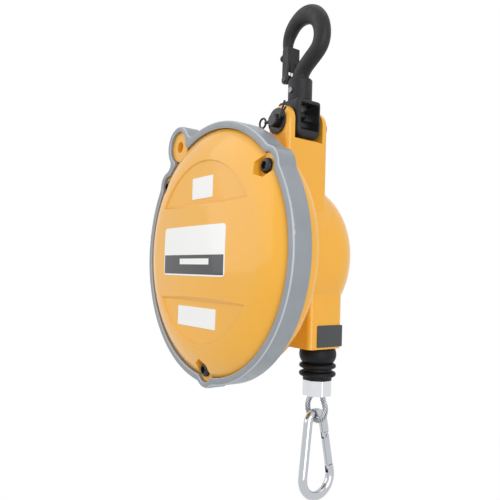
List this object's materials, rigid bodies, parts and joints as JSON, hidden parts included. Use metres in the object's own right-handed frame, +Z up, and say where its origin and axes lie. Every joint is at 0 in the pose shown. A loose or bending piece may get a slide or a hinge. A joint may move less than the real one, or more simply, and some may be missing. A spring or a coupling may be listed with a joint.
{
  "type": "tool balancer",
  "caption": "Spring tool balancer: a disc-shaped die-cast spring chamber and rope drum on a swivel safety hook, with a wire rope, rubber buffer and snap hook below.",
  "frame": {"origin": "seat of the top hook, the highest point inside its bowl, where it hangs from a rail or eye", "axes": "+Z up along the hang, +Y back along the drum axis away from the round front cover, +X to the right seen from the front"},
  "size_m": [0.1994, 0.1156, 0.3812],
  "materials": {
    "yellow_paint": "gloss enamel on die-cast aluminium",
    "drum_housing_paint": "gloss enamel on die-cast aluminium",
    "bumper_rubber": "satin grey",
    "black_screw": "black oxide steel",
    "bright_steel": "bright zinc plate",
    "black_steel": "satin black steel",
    "latch_steel": "black sheet steel",
    "machined_steel": "turned",
    "spring_steel": "blued spring strip",
    "wheel_bronze": "cast",
    "drum_alloy": "die cast",
    "rope_wire": "galvanised 7x19 rope",
    "buffer_rubber": "matt black",
    "guide_plastic": "black nylon",
    "ferrule_metal": "bright pressed",
    "white_label": "printed film, bare",
    "grey_label": "printed film, bare"
  },
  "bodies": {
    "hook": {"hook": "black_steel", "hook_collar": "black_steel", "collar_pin": "bright_steel", "hook_nut": "machined_steel", "thrust_washer": "machined_steel", "latch_rivet": "bright_steel"},
    "latch": {"hook_latch": "latch_steel", "latch_spring": "bright_steel"},
    "hanger": {"hanger_strap": "black_steel"},
    "case": {"main_case": "yellow_paint", "drum_housing": "drum_housing_paint", "front_cover": "yellow_paint", "bumper_ring": "bumper_rubber", "cover_screws": "black_screw", "housing_screws": "black_screw", "hanger_pin": "bright_steel", "pin_washer": "bright_steel", "split_pin": "bright_steel", "front_bearing": "machined_steel", "rear_bearing": "machined_steel", "rope_guide": "guide_plastic", "name_plate": "white_label", "rating_plate": "white_label", "notice_plate": "white_label", "side_plate": "grey_label"},
    "spring_case": {"spring_case": "wheel_bronze", "mainspring": "spring_steel"},
    "worm": {"tension_worm": "machined_steel"},
    "drum": {"drum_shaft": "machined_steel", "spring_arbor": "machined_steel", "drum_key": "machined_steel", "rope_drum": "drum_alloy", "rope_on_drum": "rope_wire", "drum_circlip": "spring_steel"},
    "rope_end": {"wire_rope": "rope_wire", "rope_buffer": "buffer_rubber", "rope_ferrule": "ferrule_metal", "rope_loop": "rope_wire"},
    "snap_hook": {"snap_hook": "bright_steel", "gate_rivet": "bright_steel"},
    "gate": {"snap_gate": "bright_steel"}
  },
  "joints": [
    {"name": "latch_swing", "type": "hinge", "parent": "hook", "child": "latch", "pos_m": [-0.0152, 0, -0.0396], "axis": [0, 1, 0], "range_deg": [0, 30], "stiffness_Nm_per_rad": 0.05, "springref_deg": -57.3},
    {"name": "hook_swivel", "type": "hinge", "parent": "hook", "child": "hanger", "pos_m": [-0.0035, 0, -0.0596], "axis": [0, 0, 1], "continuous": true},
    {"name": "hanger_pivot", "type": "hinge", "parent": "hanger", "child": "case", "pos_m": [-0.004, 0, -0.0778], "axis": [0, 1, 0], "range_deg": [0, 12]},
    {"name": "spring_case_turn", "type": "hinge", "parent": "case", "child": "spring_case", "pos_m": [-0.044, -0.0152, -0.1768], "axis": [0, 1, 0], "continuous": true},
    {"name": "worm_turn", "type": "hinge", "parent": "case", "child": "worm", "pos_m": [-0.0794, -0.0142, -0.1768], "axis": [0, 0, 1], "continuous": true},
    {"name": "rope_pull", "type": "slide", "parent": "case", "child": "rope_end", "axis": [0, 0, -1], "range_m": [0, 1.3], "stiffness_N_per_m": 19, "springref_m": -1.3},
    {"name": "drum_turn", "type": "hinge", "parent": "case", "child": "drum", "pos_m": [-0.044, 0.0268, -0.1768], "axis": [0, 1, 0], "range_deg": [0, 1709.4]},
    {"name": "snap_hook_swing", "type": "hinge", "parent": "rope_end", "child": "snap_hook", "pos_m": [-0.005, 0.0268, -0.3054], "axis": [1, 0, 0], "range_deg": [-30, 30]},
    {"name": "gate_swing", "type": "hinge", "parent": "snap_hook", "child": "gate", "pos_m": [-0.005, 0.04227, -0.34406], "axis": [1, 0, 0], "range_deg": [0, 25], "stiffness_Nm_per_rad": 0.03, "springref_deg": -45.84}
  ],
  "couplings": [
    {"joint": "drum_turn", "follows": "rope_pull", "rad_per_m": 22.936},
    {"joint": "worm_turn", "follows": "spring_case_turn", "ratio": 36}
  ]
}
